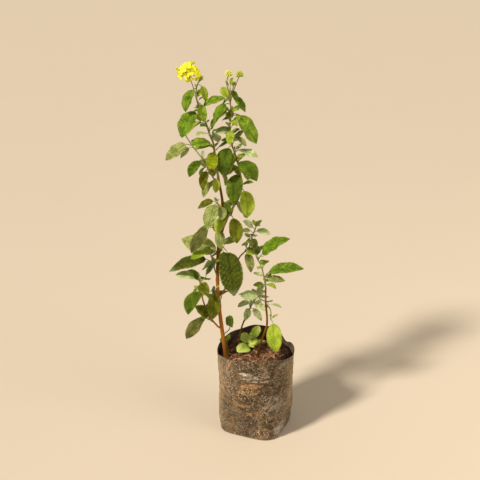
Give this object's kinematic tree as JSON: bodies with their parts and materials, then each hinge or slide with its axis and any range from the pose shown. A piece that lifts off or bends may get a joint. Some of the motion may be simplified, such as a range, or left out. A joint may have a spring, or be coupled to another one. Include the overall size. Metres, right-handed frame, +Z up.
{
  "type": "potted lantana shrub in a film grow bag",
  "caption": "Young flowering lantana shrub in a soil-filled dark film grow bag, with slender leafy stems, a domed yellow flower head and round green bud clusters.",
  "frame": {"origin": "centre of the grow bag's flat underside", "axes": "+Z up along the stems, -Y towards the front of the plant"},
  "size_m": [0.1814, 0.1343, 0.5167],
  "materials": {
    "bag_film": "dusty crinkled dark film with pale creases and soil smears",
    "soil": "fibrous red-brown coir potting soil",
    "bark": "thin brown bark, greener towards the tips",
    "leaves": "toothed, wrinkled green leaf blades with paler undersides"
  },
  "bodies": {
    "root": {"grow_bag": "bag_film", "potting_soil": "soil", "main_stem": "bark", "left_leader": "bark", "right_leader": "bark", "side_branch": "bark", "low_left_branch": "bark", "second_stem": "bark", "back_stem": "bark", "foliage_crown_left": "leaves", "foliage_crown_right": "leaves", "foliage_left_side": "leaves", "foliage_fork_left": "leaves", "foliage_fork_right": "leaves", "foliage_fork_back": "leaves", "foliage_mid_left": "leaves", "foliage_trunk_left": "leaves", "foliage_trunk_right": "leaves", "foliage_trunk_back": "leaves", "foliage_low_left": "leaves", "foliage_low_skirt": "leaves", "foliage_trunk_low": "leaves", "foliage_low_back": "leaves", "foliage_side_branch": "leaves", "foliage_second_top": "leaves", "foliage_second_left": "leaves", "foliage_second_right": "leaves", "foliage_back_stem": "leaves", "foliage_round_leaf": "leaves", "foliage_seedlings": "leaves", "foliage_foot_sprout": "leaves"}
  },
  "joints": []
}
